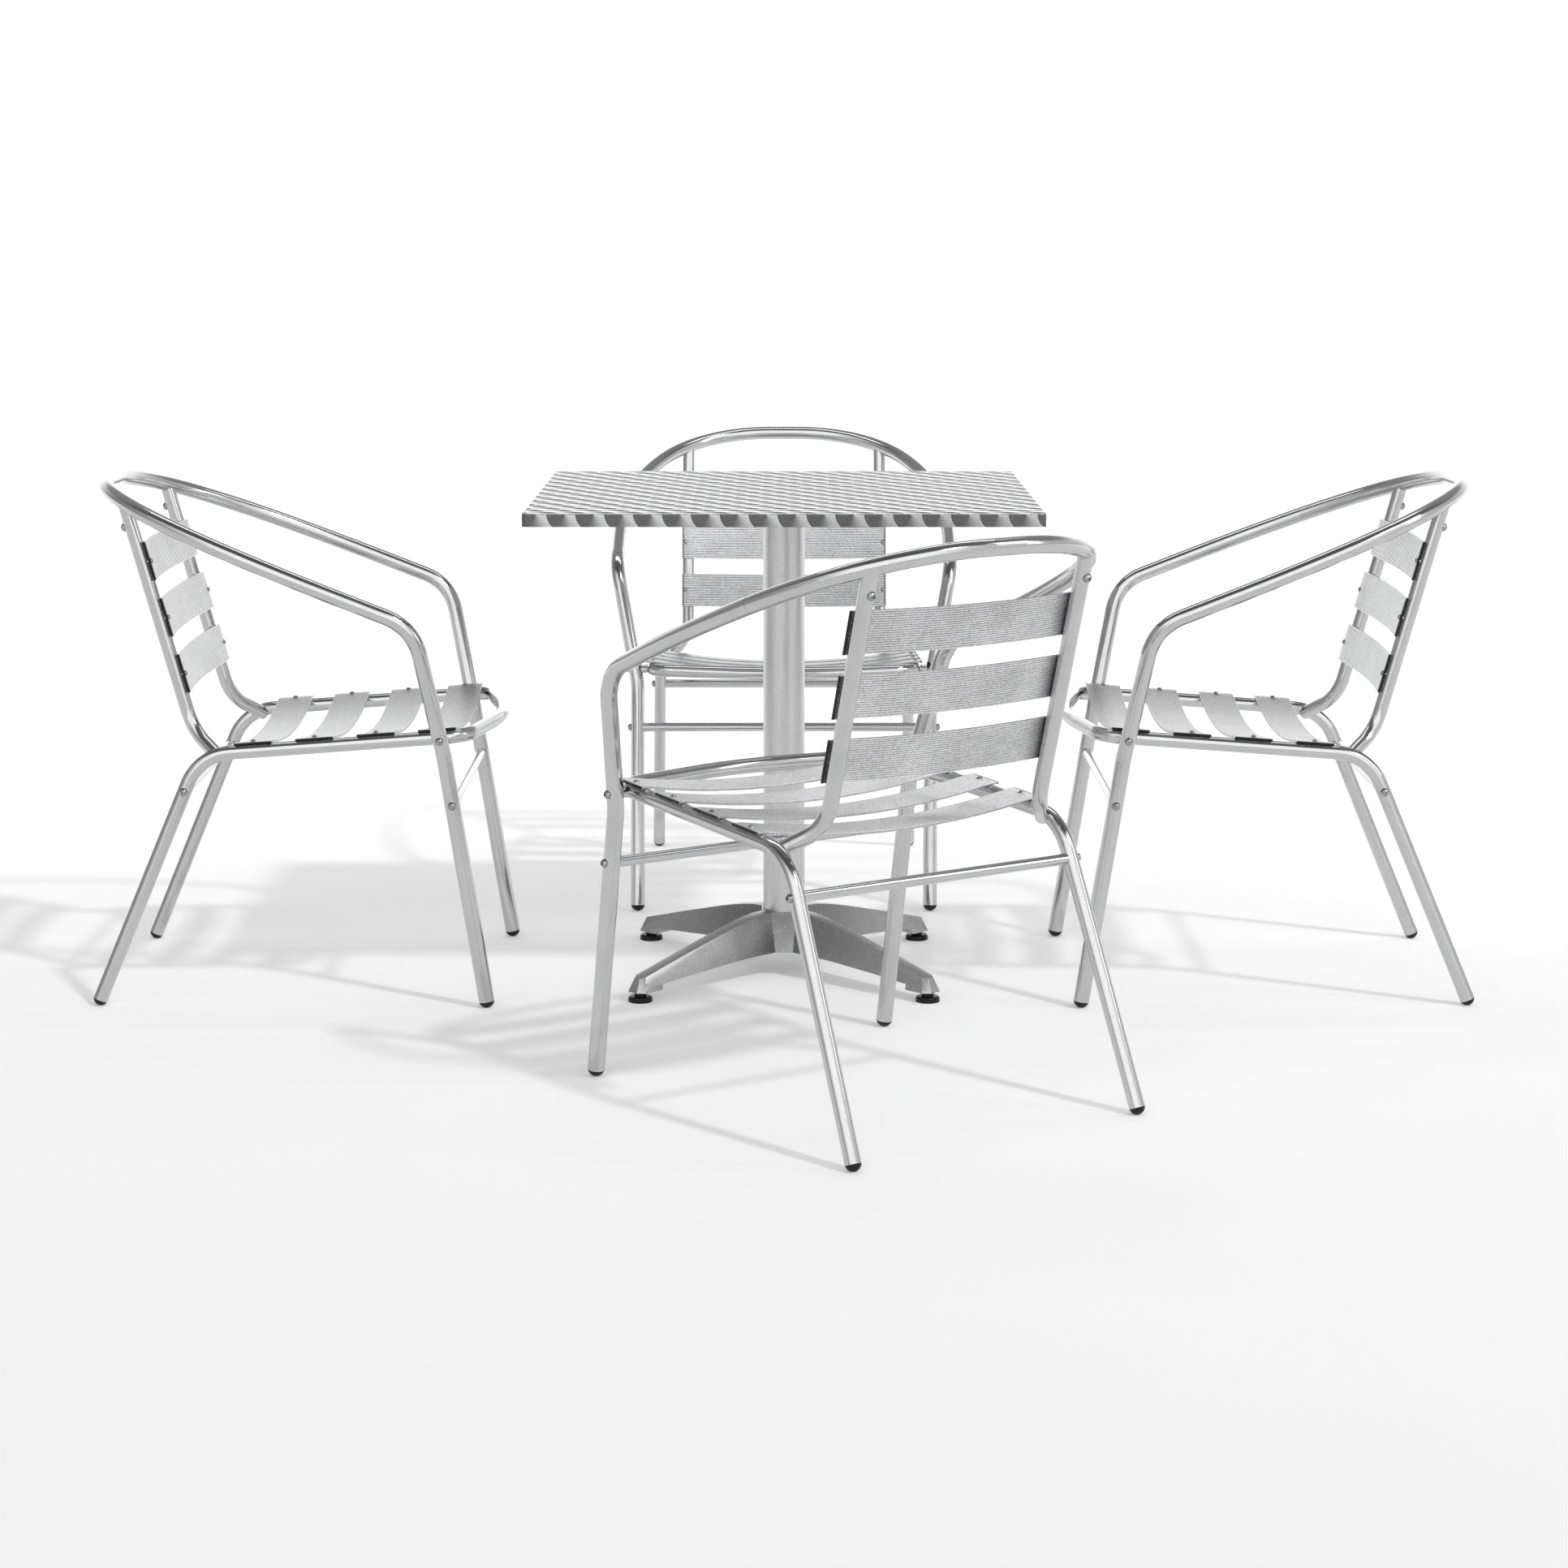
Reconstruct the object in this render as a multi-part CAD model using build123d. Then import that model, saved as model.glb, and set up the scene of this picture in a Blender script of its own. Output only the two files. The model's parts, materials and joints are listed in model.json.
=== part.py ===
from build123d import *
import os
from math import cos, radians, sin, sqrt

# Patio dining set: a square pedestal table and four stacking armchairs.
# Millimetres, +Z up, +X right, +Y towards the back chair.
# The origin is where the table's column axis meets the floor.

# ---- table ----------------------------------------------------------------
TOP_SIDE = 698.5
TOP_HEIGHT = 700.0
TOP_THICKNESS = 18.0
TOP_CORNER_RADIUS = 8.0
SHEET_THICKNESS = 1.0
SHEET_EDGE_ROLL = 2.5
SHEET_LIP = 14.0
SPIDER_THICKNESS = 6.0
SPIDER_REACH = 150.0
SPIDER_ARM_WIDTH = 34.0
SPIDER_BOSS_RADIUS = 38.0
SPIDER_BOSS_HEIGHT = 16.0
SPIDER_SOCKET_DEPTH = 10.0
SPIDER_SCREW_AT = 130.0
SCREW_RADIUS = 2.5
SCREW_LENGTH = 14.0
SCREW_HEAD_RADIUS = 5.0
SCREW_HEAD_HEIGHT = 3.0
COLUMN_RADIUS = 30.0
COLUMN_WALL = 1.5
ROD_RADIUS = 5.0
ROD_HOLE_RADIUS = 5.5
ROD_ENGAGEMENT = 8.0
NUT_ACROSS_FLATS = 17.0
NUT_HEIGHT = 8.0
WASHER_RADIUS = 14.0
WASHER_THICKNESS = 2.0
ROD_BEYOND_NUT = 3.0

HUB_TOP = 91.0
HUB_BOTTOM = 36.0
HUB_TOP_HALF = 32.5
HUB_BOTTOM_HALF = 53.0
SOCKET_DEPTH = 21.0
SOCKET_FLOOR = 7.0
POCKET_RADIUS = 22.0
# along a base arm: distance from the axis, underside height, ridge height
ARM_STATIONS = (
    (24.0, 36.0, 90.8),
    (54.0, 36.0, 90.6),
    (74.0, 36.0, 87.8),
    (96.0, 35.2, 83.6),
    (120.0, 34.2, 78.2),
    (200.0, 28.2, 58.2),
    (304.0, 18.6, 30.6),
)
ARM_RIDGE_HALF = 10.5
ARM_DRAFT = 0.33
BLOCK_BOTTOM = 14.5
BLOCK_INNER = 259.0
BLOCK_INNER_LEAN = 3.0
BLOCK_OUTER = 300.5
BLOCK_JOIN = 26.0
BLOCK_END_DRAFT = 26.0
BLOCK_CHAMFER_POINT = (296.0, 13.5)
BLOCK_CHAMFER_TURN = 45.0

FOOT_OFFSET = 202.0
PAD_RADIUS = 17.1
PAD_RIM = 4.5
PAD_HEIGHT = 8.0
PAD_SHOULDER_DIP = 1.0
NECK_RADIUS = 8.5
SHOULDER_GAP = 0.3
STUD_RADIUS = 4.0
STUD_TOP = 28.5
STUD_HOLE_TOP = 29.0
RUNNING_GAP = 0.05

# ---- chair, in its own frame: the origin is on the floor midway between ----
# ---- the front feet, and +Y is the way the sitter faces                 ----
ARM_TUBE_RADIUS = 11.0
SEAT_TUBE_RADIUS = 10.0
TUBE_WALL = 1.5
FRONT_FOOT = (231.0, 0.0, 0.0)
FRONT_KNEE = (231.3, -55.3, 356.1)
FRONT_KNEE_BEND = 81.0
ARM_CORNER = (264.5, -91.1, 537.8)
ARM_CORNER_BEND = 70.0
ARM_SLOPE = 0.3935
# the arm's plan: half width, then how far behind the arm corner, then the bend
ARM_PLAN = (
    (264.4, 190.0, 750.0),
    (229.0, 317.0, 370.0),
    (138.0, 453.1, 208.0),
)
REAR_FOOT = (217.0, -546.5, 0.0)
REAR_LEG_LEAN = 0.4245
REAR_BEND = 70.0
RAIL_HALF = 207.5
RAIL_BOLT_Y = -60.0
RAIL_BOLT_Z = 378.0
RAIL_SLOPE = 0.0725
FRONT_CORNER_Y = -27.0
FRONT_CORNER_BEND = 38.0
FRONT_BOW_Y = 15.0
FRONT_BOW_BEND = 420.0
UPRIGHT_HALF = 161.0
UPRIGHT_MIDDLE = (-461.3, 565.5)
UPRIGHT_LEAN = 0.271
UPRIGHT_TOP_Z = 696.7
UPRIGHT_KNEE_Z = 381.0
UPRIGHT_END = (204.0, -368.0, 349.0)
UPRIGHT_BEND = 60.0
STRETCHER_RADIUS = 7.0
STRETCHER_PLUG = 18.0
FRONT_STRETCHER_Z = 287.2
REAR_STRETCHER_Z = 303.0
SPACER_RADIUS = 6.5

CAP_ROUNDNESS = 0.85
CAP_PLUG_LENGTH = 14.0
CAP_FIT = 0.05

SLAT_THICKNESS = 3.5
SLAT_FIT = 0.05
SLAT_OVERHANG = 10.0
SEAT_SLAT_WIDTH = 52.0
SEAT_SLAT_YS = (-320.0, -235.0, -150.0, -65.0)
SEAT_SLAT_SAG = 18.0
BACK_SLAT_WIDTH = 55.5
BACK_SLAT_ZS = (458.5, 537.0, 615.5)
BACK_SLAT_SAG = 10.0
BACK_RIVET_OFFSET = 5.0

RIVET_RADIUS = 1.8
RIVET_GRIP = 7.5
RIVET_HEAD_RADIUS = 3.6
RIVET_HEAD_HEIGHT = 2.8
RIVET_HEAD_RIM = 0.6
BOLT_RADIUS = 3.0
BOLT_HEAD_RADIUS = 5.8
BOLT_HEAD_HEIGHT = 5.0
BOLT_SOCKET_ACROSS = 4.2
BOLT_SOCKET_DEPTH = 2.6
BOLT_CLEAR_OF_BORE = 4.0
BOLT_RIM = 1.0
HEAD_SINK = 1.7
HOOP_BOLT_Z = 666.8
HOOP_BOLT_LENGTH = 16.0

# name, heading in degrees counter-clockwise from +Y, x, y
CHAIRS = (
    ("left_chair", -90.0, -413.1, -9.7),
    ("right_chair", 90.0, 413.1, -9.7),
    ("back_chair", 180.0, 0.0, 407.0),
    ("front_chair", 35.0, -53.4, -479.4),
)

SIDES = (("left", -1), ("right", 1))


# ---- shapes that repeat -----------------------------------------------------
def tube_along(path, radius, wall):
    """A round tube along a path of straight runs and tangent arcs."""
    start = Plane(origin=path @ 0, z_dir=path % 0)
    return sweep(start * (Circle(radius) - Circle(radius - wall)), path=path)


def bar_along(path, radius):
    """The space a tube fills, bore included: what meets the tube is trimmed by it."""
    start = Plane(origin=path @ 0, z_dir=path % 0)
    return sweep(start * Circle(radius), path=path)


def pin(start, direction, radius, length):
    """A cylinder from a point along a direction."""
    return extrude(Plane(origin=start, z_dir=direction) * Circle(radius), amount=length)


def dome(radius, height, rim=0.0):
    """A round cap on the XY plane with a straight rim and a spherical top."""
    rise = height - rim
    ball = (radius**2 + rise**2) / (2 * rise)
    half_way = radius / 2
    middle = (half_way, height - ball + sqrt(ball**2 - half_way**2))
    outline = [
        Line((0, 0), (radius, 0)),
        ThreePointArc((radius, rim), middle, (0, height)),
        Line((0, height), (0, 0)),
    ]
    if rim > 0:
        outline.insert(1, Line((radius, 0), (radius, rim)))
    return revolve(Plane.XZ * make_face(Curve() + outline), axis=Axis.Z)


def mirrored(points):
    """Points of the right half, then the same points of the left half in reverse."""
    left = [(-x, y, z) for x, y, z in reversed(points) if x > 0]
    return list(points) + left


def at_height(low, high, z):
    """The point at a height on the line through two points."""
    share = (z - low[2]) / (high[2] - low[2])
    return Vector(*low) + (Vector(*high) - Vector(*low)) * share


def on_side(point, side):
    """A right-hand point, or its mirror image on the left."""
    return Vector(point.X * side, point.Y, point.Z)


# ---- chair: where its tubes run ----------------------------------------------
def rail_z(y):
    """Height of a side rail's centre."""
    return RAIL_BOLT_Z + RAIL_SLOPE * (y - RAIL_BOLT_Y)


def rear_knee():
    """Where the rear leg's line meets the side rail's line."""
    foot_y = REAR_FOOT[1]
    z = rail_z(foot_y) / (1 - RAIL_SLOPE * REAR_LEG_LEAN)
    return (RAIL_HALF, foot_y + REAR_LEG_LEAN * z, z)


def upright_point(z):
    """Centre of the right back upright's straight stretch at a height."""
    middle_y, middle_z = UPRIGHT_MIDDLE
    return Vector(UPRIGHT_HALF, middle_y - UPRIGHT_LEAN * (z - middle_z), z)


def cap_ball(radius):
    """Radius of the sphere that a foot cap's round end is part of."""
    height = CAP_ROUNDNESS * radius
    return (radius**2 + height**2) / (2 * height)


def leg_start(foot, knee, radius):
    """Where a leg's tube begins, so that its cap just touches the floor."""
    rise = (Vector(*knee) - Vector(*foot)).normalized()
    ball = cap_ball(radius)
    centre = Vector(*foot) + rise * (ball / rise.Z)
    return centre - rise * (ball - CAP_ROUNDNESS * radius), rise


def arm_path():
    """Front foot, leg, arm, round behind the back, and down the other side."""
    start, _ = leg_start(FRONT_FOOT, FRONT_KNEE, ARM_TUBE_RADIUS)
    right = [tuple(start), FRONT_KNEE, ARM_CORNER]
    bends = [FRONT_KNEE_BEND, ARM_CORNER_BEND]
    for half, behind, bend in ARM_PLAN:
        right.append((half, ARM_CORNER[1] - behind, ARM_CORNER[2] + ARM_SLOPE * behind))
        bends.append(bend)
    return FilletPolyline(*mirrored(right), radius=bends + bends[::-1])


def seat_path():
    """Rear foot, leg, side rail, bowed front rail, and back down the other side."""
    knee = rear_knee()
    start, _ = leg_start(REAR_FOOT, knee, SEAT_TUBE_RADIUS)
    front_z = rail_z(FRONT_CORNER_Y)
    right = [tuple(start), knee, (RAIL_HALF, FRONT_CORNER_Y, front_z), (0.0, FRONT_BOW_Y, front_z)]
    bends = [REAR_BEND, FRONT_CORNER_BEND, FRONT_BOW_BEND, FRONT_CORNER_BEND, REAR_BEND]
    return FilletPolyline(*mirrored(right), radius=bends)


def upright_path(side):
    """From the middle of the hoop's tube down to the middle of the side rail."""
    end = on_side(Vector(*UPRIGHT_END), side)
    knee = on_side(upright_point(UPRIGHT_KNEE_Z), side)
    top = on_side(upright_point(UPRIGHT_TOP_Z), side)
    return FilletPolyline(top, knee, end, radius=UPRIGHT_BEND)


# ---- chair: pieces -------------------------------------------------------------
def stretcher(centre, trim):
    """A cross bar between two legs: a tube with a threaded plug in each end."""
    half = centre.X
    bar = pin((-half, centre.Y, centre.Z), (1, 0, 0), STRETCHER_RADIUS, 2 * half)
    inner_half = half - STRETCHER_PLUG
    bore = pin(
        (-inner_half, centre.Y, centre.Z),
        (1, 0, 0),
        STRETCHER_RADIUS - TUBE_WALL,
        2 * inner_half,
    )
    thread = pin((-half, centre.Y, centre.Z), (1, 0, 0), BOLT_RADIUS, 2 * half)
    return bar - bore - thread - trim


def slat_face(half_span, tube_radius, sag):
    """A slat's edge-on outline. Its flat ends lie on two tubes and it sags between them."""
    inner = tube_radius + SLAT_FIT
    outer = inner + SLAT_THICKNESS
    reach = (half_span**2 + sag**2) / (2 * sag)
    sag_radius = reach - (inner + outer) / 2
    sag_centre = reach - sag

    def surface(height, sag_arc):
        """One face of the sheet from the right end to the left, height above the tubes' axes."""
        end = (half_span + SLAT_OVERHANG, height)
        top = (half_span, height)
        share = height / reach
        tangent = (half_span * (1 - share), sag_centre * share)
        flip = [(-x, y) for x, y in (tangent, top, end)]
        return end, flip[2], [
            Line(end, top),
            TangentArc(top, tangent, tangent=(-1, 0)),
            ThreePointArc(tangent, (0, sag_centre - sag_arc), flip[0]),
            TangentArc(flip[1], flip[0], tangent=(1, 0)),
            Line(flip[1], flip[2]),
        ]

    thick = SLAT_THICKNESS / 2
    right_a, left_a, upper = surface(outer, sag_radius - thick)
    right_b, left_b, lower = surface(inner, sag_radius + thick)
    ends = [Line(right_a, right_b), Line(left_a, left_b)]
    return make_face(Curve() + upper + lower + ends)


def slat(frame, width, half_span, sag):
    """A slat across two tubes, its width running along them."""
    face = slat_face(half_span, SEAT_TUBE_RADIUS, sag)
    return extrude(frame * face, amount=width / 2, both=True)


def seat_slat_frame(y):
    """Across the seat at a slat: local Y points up out of the seat."""
    rail = Vector(0, 1, RAIL_SLOPE).normalized()
    return Plane(origin=(0, y, rail_z(y)), x_dir=(1, 0, 0), z_dir=-rail)


def back_slat_frame(z):
    """Across the back at a slat: local Y points forward out of the back."""
    centre = upright_point(z)
    rise = Vector(0, -UPRIGHT_LEAN, 1).normalized()
    return Plane(origin=(0, centre.Y, z), x_dir=(1, 0, 0), z_dir=rise)


def rivet_places():
    """Where each rivet enters the outside of its slat, and its inward direction."""
    seat = [(seat_slat_frame(y), RAIL_HALF) for y in SEAT_SLAT_YS]
    back = [(back_slat_frame(z), UPRIGHT_HALF + BACK_RIVET_OFFSET) for z in BACK_SLAT_ZS]
    out = SEAT_TUBE_RADIUS + SLAT_FIT + SLAT_THICKNESS
    places = []
    for frame, half in seat + back:
        for _, side in SIDES:
            places.append((frame.from_local_coords(Vector(side * half, out, 0)), -frame.y_dir))
    return places


def rivet(start, inward):
    """A shank through slat and tube wall, and a domed head on the slat's flat end."""
    shank = pin(start, inward, RIVET_RADIUS, RIVET_GRIP)
    seat = Plane(origin=start, z_dir=-inward)
    return shank, seat * dome(RIVET_HEAD_RADIUS, RIVET_HEAD_HEIGHT, RIVET_HEAD_RIM)


def bolt_places():
    """Each bolt's seat on a tube, its inward direction and its length under the head."""
    front = at_height(FRONT_FOOT, FRONT_KNEE, FRONT_STRETCHER_Z)
    rear = at_height(REAR_FOOT, rear_knee(), REAR_STRETCHER_Z)
    arm = at_height(FRONT_KNEE, ARM_CORNER, RAIL_BOLT_Z)
    hoop = upright_point(HOOP_BOLT_Z)
    backward = Vector(0, -1, -UPRIGHT_LEAN).normalized()
    arm_bore = 2 * ARM_TUBE_RADIUS
    seat_bore = 2 * SEAT_TUBE_RADIUS
    plug_grip = STRETCHER_PLUG - BOLT_CLEAR_OF_BORE
    rail_grip = arm.X - ARM_TUBE_RADIUS - RAIL_HALF + SEAT_TUBE_RADIUS - BOLT_CLEAR_OF_BORE
    places = []
    for _, side in SIDES:
        outward = Vector(side, 0, 0)
        places.append((on_side(front, side), outward, ARM_TUBE_RADIUS, arm_bore + plug_grip))
        places.append((on_side(rear, side), outward, SEAT_TUBE_RADIUS, seat_bore + plug_grip))
        rail_bolt = Vector(side * arm.X, RAIL_BOLT_Y, RAIL_BOLT_Z)
        places.append((rail_bolt, outward, ARM_TUBE_RADIUS, arm_bore + rail_grip))
        places.append((on_side(hoop, side), backward, SEAT_TUBE_RADIUS, HOOP_BOLT_LENGTH))
    return [(c + out * r, -out, length) for c, out, r, length in places]


def bolt(start, inward, length):
    """A shank, and a domed head with a hexagon socket that is sunk on the tube."""
    shank = pin(start - inward, inward, BOLT_RADIUS, length + 1)
    seat = Plane(origin=start + inward * HEAD_SINK, z_dir=-inward)
    height = BOLT_HEAD_HEIGHT + HEAD_SINK
    head = seat * dome(BOLT_HEAD_RADIUS, height, HEAD_SINK + BOLT_RIM)
    socket_floor = seat.offset(height - BOLT_SOCKET_DEPTH)
    socket = RegularPolygon(BOLT_SOCKET_ACROSS / 2, 6, major_radius=False)
    head -= extrude(socket_floor * socket, amount=2 * BOLT_SOCKET_DEPTH)
    return shank, head


def foot_cap(foot, knee, radius):
    """A round black cap with a plug that pushes into the tube's end."""
    start, rise = leg_start(foot, knee, radius)
    end = Plane(origin=start, z_dir=-rise)
    plug = pin(start, rise, radius - TUBE_WALL - CAP_FIT, CAP_PLUG_LENGTH)
    return end * dome(radius, CAP_ROUNDNESS * radius) + plug


def foot_caps():
    legs = [(FRONT_FOOT, FRONT_KNEE, ARM_TUBE_RADIUS), (REAR_FOOT, rear_knee(), SEAT_TUBE_RADIUS)]
    caps = []
    for foot, knee, radius in legs:
        cap = foot_cap(foot, knee, radius)
        caps += [cap, mirror(cap, about=Plane.YZ)]
    return caps


def rail_spacers(arm_bar, seat_bar, holes):
    """Short bushes that hold the side rails off the arm tube's legs."""
    spacers = []
    arm = at_height(FRONT_KNEE, ARM_CORNER, RAIL_BOLT_Z)
    for _, side in SIDES:
        start = (side * RAIL_HALF, RAIL_BOLT_Y, RAIL_BOLT_Z)
        bush = pin(start, (side, 0, 0), SPACER_RADIUS, arm.X - RAIL_HALF)
        spacers.append(bush - arm_bar - seat_bar - holes)
    return spacers


def chair_pieces():
    """Every piece of one chair in the chair's own frame, by name."""
    arm_line = arm_path()
    seat_line = seat_path()
    arm_bar = bar_along(arm_line, ARM_TUBE_RADIUS)
    seat_bar = bar_along(seat_line, SEAT_TUBE_RADIUS)
    bars = arm_bar + seat_bar
    for _, side in SIDES:
        bars += bar_along(upright_path(side), SEAT_TUBE_RADIUS)

    bolts = [bolt(*place) for place in bolt_places()]
    bolt_holes = Compound([shank for shank, _ in bolts])
    rivets = [rivet(*place) for place in rivet_places()]
    rivet_holes = Compound([shank for shank, _ in rivets])

    seat_slats = [
        slat(seat_slat_frame(y), SEAT_SLAT_WIDTH, RAIL_HALF, SEAT_SLAT_SAG)
        for y in SEAT_SLAT_YS
    ]
    back_slats = [
        slat(back_slat_frame(z), BACK_SLAT_WIDTH, UPRIGHT_HALF, BACK_SLAT_SAG)
        for z in BACK_SLAT_ZS
    ]

    front = at_height(FRONT_FOOT, FRONT_KNEE, FRONT_STRETCHER_Z)
    rear = at_height(REAR_FOOT, rear_knee(), REAR_STRETCHER_Z)
    pieces = {
        "arm_frame": [tube_along(arm_line, ARM_TUBE_RADIUS, TUBE_WALL) - bolt_holes],
        "seat_frame": [
            tube_along(seat_line, SEAT_TUBE_RADIUS, TUBE_WALL) - bolt_holes - rivet_holes
        ],
        "front_stretcher": [stretcher(front, arm_bar)],
        "rear_stretcher": [stretcher(rear, seat_bar)],
        "rail_spacers": rail_spacers(arm_bar, seat_bar, bolt_holes),
        "seat_slats": [piece - rivet_holes - seat_bar for piece in seat_slats],
        "back_slats": [piece - rivet_holes for piece in back_slats],
        "frame_bolts": [shank + (head - bars) for shank, head in bolts],
        "slat_rivets": [shank + head for shank, head in rivets],
        "foot_caps": foot_caps(),
    }
    for name, side in SIDES:
        tube = tube_along(upright_path(side), SEAT_TUBE_RADIUS, TUBE_WALL)
        pieces[f"back_upright_{name}"] = [
            tube - arm_bar - seat_bar - bolt_holes - rivet_holes
        ]
    return pieces


# ---- table: pieces --------------------------------------------------------------
def rounded_slab(side, corner, low, high):
    """A square plate with rounded corners between two heights."""
    return extrude(Plane.XY.offset(low) * RectangleRounded(side, side, corner), amount=high - low)


def tabletop_sheet():
    """The rolled metal skin: top, folded-down edge and a return lip underneath."""
    low = TOP_HEIGHT - TOP_THICKNESS
    skin = rounded_slab(TOP_SIDE, TOP_CORNER_RADIUS, low, TOP_HEIGHT)
    skin = fillet(skin.faces().sort_by(Axis.Z)[-1].edges(), SHEET_EDGE_ROLL)
    inside = TOP_SIDE - 2 * SHEET_THICKNESS
    corner = TOP_CORNER_RADIUS - SHEET_THICKNESS
    skin -= rounded_slab(inside, corner, low + SHEET_THICKNESS, TOP_HEIGHT - SHEET_EDGE_ROLL)
    skin -= tabletop_core()
    mouth = TOP_SIDE - 2 * SHEET_LIP
    return skin - rounded_slab(mouth, corner, low, low + SHEET_THICKNESS)


def tabletop_core():
    """The board inside the skin, with its top edge eased to follow the roll."""
    low = TOP_HEIGHT - TOP_THICKNESS + SHEET_THICKNESS
    side = TOP_SIDE - 2 * SHEET_THICKNESS
    board = rounded_slab(
        side, TOP_CORNER_RADIUS - SHEET_THICKNESS, low, TOP_HEIGHT - SHEET_THICKNESS
    )
    return fillet(
        board.faces().sort_by(Axis.Z)[-1].edges(), SHEET_EDGE_ROLL - SHEET_THICKNESS
    )


def core_bottom():
    return TOP_HEIGHT - TOP_THICKNESS + SHEET_THICKNESS


def column_top():
    return core_bottom() - SPIDER_THICKNESS - SPIDER_BOSS_HEIGHT + SPIDER_SOCKET_DEPTH


def rod_top():
    return column_top() + ROD_ENGAGEMENT


def top_spider():
    """The four-armed bracket under the top that takes the column and the tie rod."""
    plate_low = core_bottom() - SPIDER_THICKNESS
    spider = pin((0, 0, plate_low), (0, 0, 1), SPIDER_BOSS_RADIUS, SPIDER_THICKNESS)
    for turn in (45, 135):
        arm = SlotOverall(2 * SPIDER_REACH, SPIDER_ARM_WIDTH, rotation=turn)
        spider += extrude(Plane.XY.offset(plate_low) * arm, amount=SPIDER_THICKNESS)
    boss_low = plate_low - SPIDER_BOSS_HEIGHT
    spider += pin((0, 0, boss_low), (0, 0, 1), SPIDER_BOSS_RADIUS, SPIDER_BOSS_HEIGHT)
    spider -= pin(
        (0, 0, boss_low), (0, 0, 1), COLUMN_RADIUS + RUNNING_GAP, SPIDER_SOCKET_DEPTH
    )
    spider -= pin((0, 0, boss_low), (0, 0, 1), ROD_RADIUS, rod_top() - boss_low)
    for x, y in diagonal_points(SPIDER_SCREW_AT / sqrt(2)):
        spider -= pin((x, y, plate_low), (0, 0, 1), SCREW_RADIUS, SPIDER_THICKNESS)
    return spider


def diagonal_points(offset):
    """Front left, front right, back left and back right."""
    return [(sx * offset, sy * offset) for sy in (-1, 1) for sx in (-1, 1)]


def spider_screws():
    low = core_bottom() - SPIDER_THICKNESS
    screws = []
    for x, y in diagonal_points(SPIDER_SCREW_AT / sqrt(2)):
        shank = pin((x, y, low), (0, 0, 1), SCREW_RADIUS, SCREW_LENGTH)
        head = Plane(origin=(x, y, low), z_dir=(0, 0, -1)) * dome(
            SCREW_HEAD_RADIUS, SCREW_HEAD_HEIGHT
        )
        screws.append(shank + head)
    return screws


def socket_floor():
    return HUB_TOP - SOCKET_DEPTH


def column():
    low = socket_floor()
    tube = pin((0, 0, low), (0, 0, 1), COLUMN_RADIUS, column_top() - low)
    return tube - pin((0, 0, low), (0, 0, 1), COLUMN_RADIUS - COLUMN_WALL, column_top() - low)


def nut_top():
    """The nut bears on a washer under the floor of the base's socket."""
    return socket_floor() - SOCKET_FLOOR - WASHER_THICKNESS


def tie_rod():
    low = nut_top() - NUT_HEIGHT - ROD_BEYOND_NUT
    return pin((0, 0, low), (0, 0, 1), ROD_RADIUS, rod_top() - low)


def tie_rod_nut_and_washer():
    washer = pin((0, 0, nut_top()), (0, 0, 1), WASHER_RADIUS, WASHER_THICKNESS)
    hexagon = RegularPolygon(NUT_ACROSS_FLATS / 2, 6, major_radius=False)
    nut = extrude(Plane.XY.offset(nut_top() - NUT_HEIGHT) * hexagon, amount=NUT_HEIGHT)
    bore = pin((0, 0, 0), (0, 0, 1), ROD_RADIUS, HUB_TOP)
    return [washer - bore, nut - bore]


def base_arm():
    """One arm along +X: a flat ridge, drafted sides, and an end block with a notch."""
    sections = []
    for reach, low, high in ARM_STATIONS:
        low_half = ARM_RIDGE_HALF + ARM_DRAFT * (high - low)
        outline = Polygon(
            (-low_half, low),
            (low_half, low),
            (ARM_RIDGE_HALF, high),
            (-ARM_RIDGE_HALF, high),
            align=None,
        )
        sections.append(Plane(origin=(reach, 0, 0), x_dir=(0, 1, 0), z_dir=(1, 0, 0)) * outline)
    return loft(sections, ruled=True) + end_block()


def ridge_height(reach):
    """Height of the ridge over the arm's last straight run."""
    (near, _, near_z), (far, _, far_z) = ARM_STATIONS[-2:]
    return near_z + (far_z - near_z) * (reach - near) / (far - near)


def end_block():
    """The foot of an arm, wider towards the floor, that takes a levelling stud."""
    sections = []
    middle = (BLOCK_INNER + BLOCK_OUTER) / 2
    for z, inner in ((BLOCK_BOTTOM, BLOCK_INNER), (BLOCK_JOIN, BLOCK_INNER - BLOCK_INNER_LEAN)):
        half = ARM_RIDGE_HALF + ARM_DRAFT * (ridge_height(middle) - z)
        length = BLOCK_OUTER - inner
        centre = (BLOCK_OUTER + inner) / 2
        sections.append(Plane(origin=(centre, 0, z)) * Rectangle(length, 2 * half))
    return loft(sections)


def arm_end_cut(turn, reach, offset):
    """What a drafted plane takes off an arm's end."""
    lean = radians(BLOCK_END_DRAFT)
    way = radians(turn)
    normal = (cos(way) * cos(lean), sin(way) * cos(lean), sin(lean))
    plane = Plane(origin=(reach, offset, BLOCK_BOTTOM), z_dir=normal)
    return extrude(plane * Rectangle(6 * PAD_RADIUS, 6 * PAD_RADIUS), amount=2 * PAD_RADIUS)


def finished_base_arm():
    arm = base_arm() - arm_end_cut(0, BLOCK_OUTER, 0)
    reach, offset = BLOCK_CHAMFER_POINT
    for side in (-1, 1):
        arm -= arm_end_cut(side * BLOCK_CHAMFER_TURN, reach, side * offset)
    stud_at = (FOOT_OFFSET * sqrt(2), 0, 0)
    return arm - pin(stud_at, (0, 0, 1), STUD_RADIUS + RUNNING_GAP, STUD_HOLE_TOP)


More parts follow.
